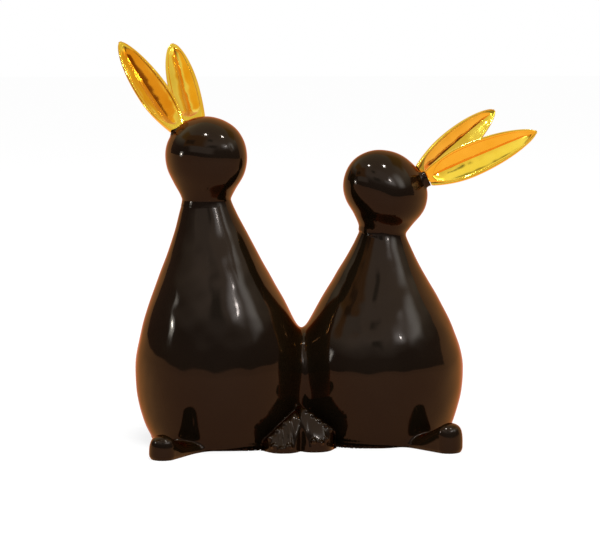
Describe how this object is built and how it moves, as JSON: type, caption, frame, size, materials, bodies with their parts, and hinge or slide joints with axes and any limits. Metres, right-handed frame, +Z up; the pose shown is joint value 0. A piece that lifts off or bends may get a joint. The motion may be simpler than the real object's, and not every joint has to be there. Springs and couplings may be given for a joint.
{
  "type": "rabbit couple figurine",
  "caption": "Two black-brown glazed pottery rabbits with long gold ears, seated side by side with their bellies joined.",
  "frame": {"origin": "centre of the bounding box's footprint, on the surface that the figurine stands on", "axes": "+X runs from the left rabbit to the right one as seen from the front, +Y points away from the viewer, +Z is up"},
  "size_m": [0.1998, 0.104, 0.1912],
  "materials": {
    "glaze": "gloss",
    "gold_lustre": "polished"
  },
  "bodies": {
    "root": {"left_body": "glaze", "right_body": "glaze", "left_head": "glaze", "right_head": "glaze", "left_outer_foot": "glaze", "right_outer_foot": "glaze", "left_inner_paw": "glaze", "right_inner_paw": "glaze", "left_tail": "glaze", "right_tail": "glaze", "left_front_ear": "gold_lustre", "left_rear_ear": "gold_lustre", "right_front_ear": "gold_lustre", "right_rear_ear": "gold_lustre"}
  },
  "joints": []
}
